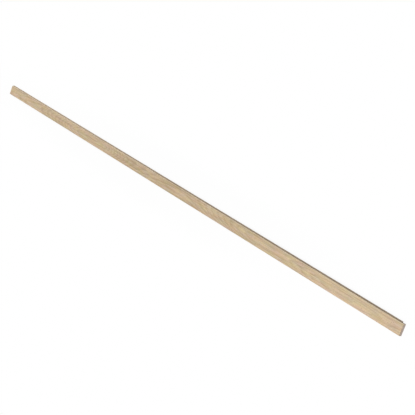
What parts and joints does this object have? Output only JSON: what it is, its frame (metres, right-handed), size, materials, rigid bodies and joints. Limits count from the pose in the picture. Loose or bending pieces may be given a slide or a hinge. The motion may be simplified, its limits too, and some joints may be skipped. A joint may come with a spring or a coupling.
{
  "type": "wall panel end trim",
  "caption": "Long flat oak-faced trim board with a low tongue along one edge, used to finish the end of a run of wall panels.",
  "frame": {"origin": "under the middle of the length and of the overall width, on the plane of the back", "axes": "+X along the length, +Y from the finished edge to the tongue, +Z from the back to the oak face"},
  "size_m": [2.4, 0.04, 0.01],
  "materials": {
    "oak_faced_board": "matt lacquered oak veneer on fibreboard, sawn ends bare"
  },
  "bodies": {
    "root": {"end_trim": "oak_faced_board"}
  },
  "joints": []
}
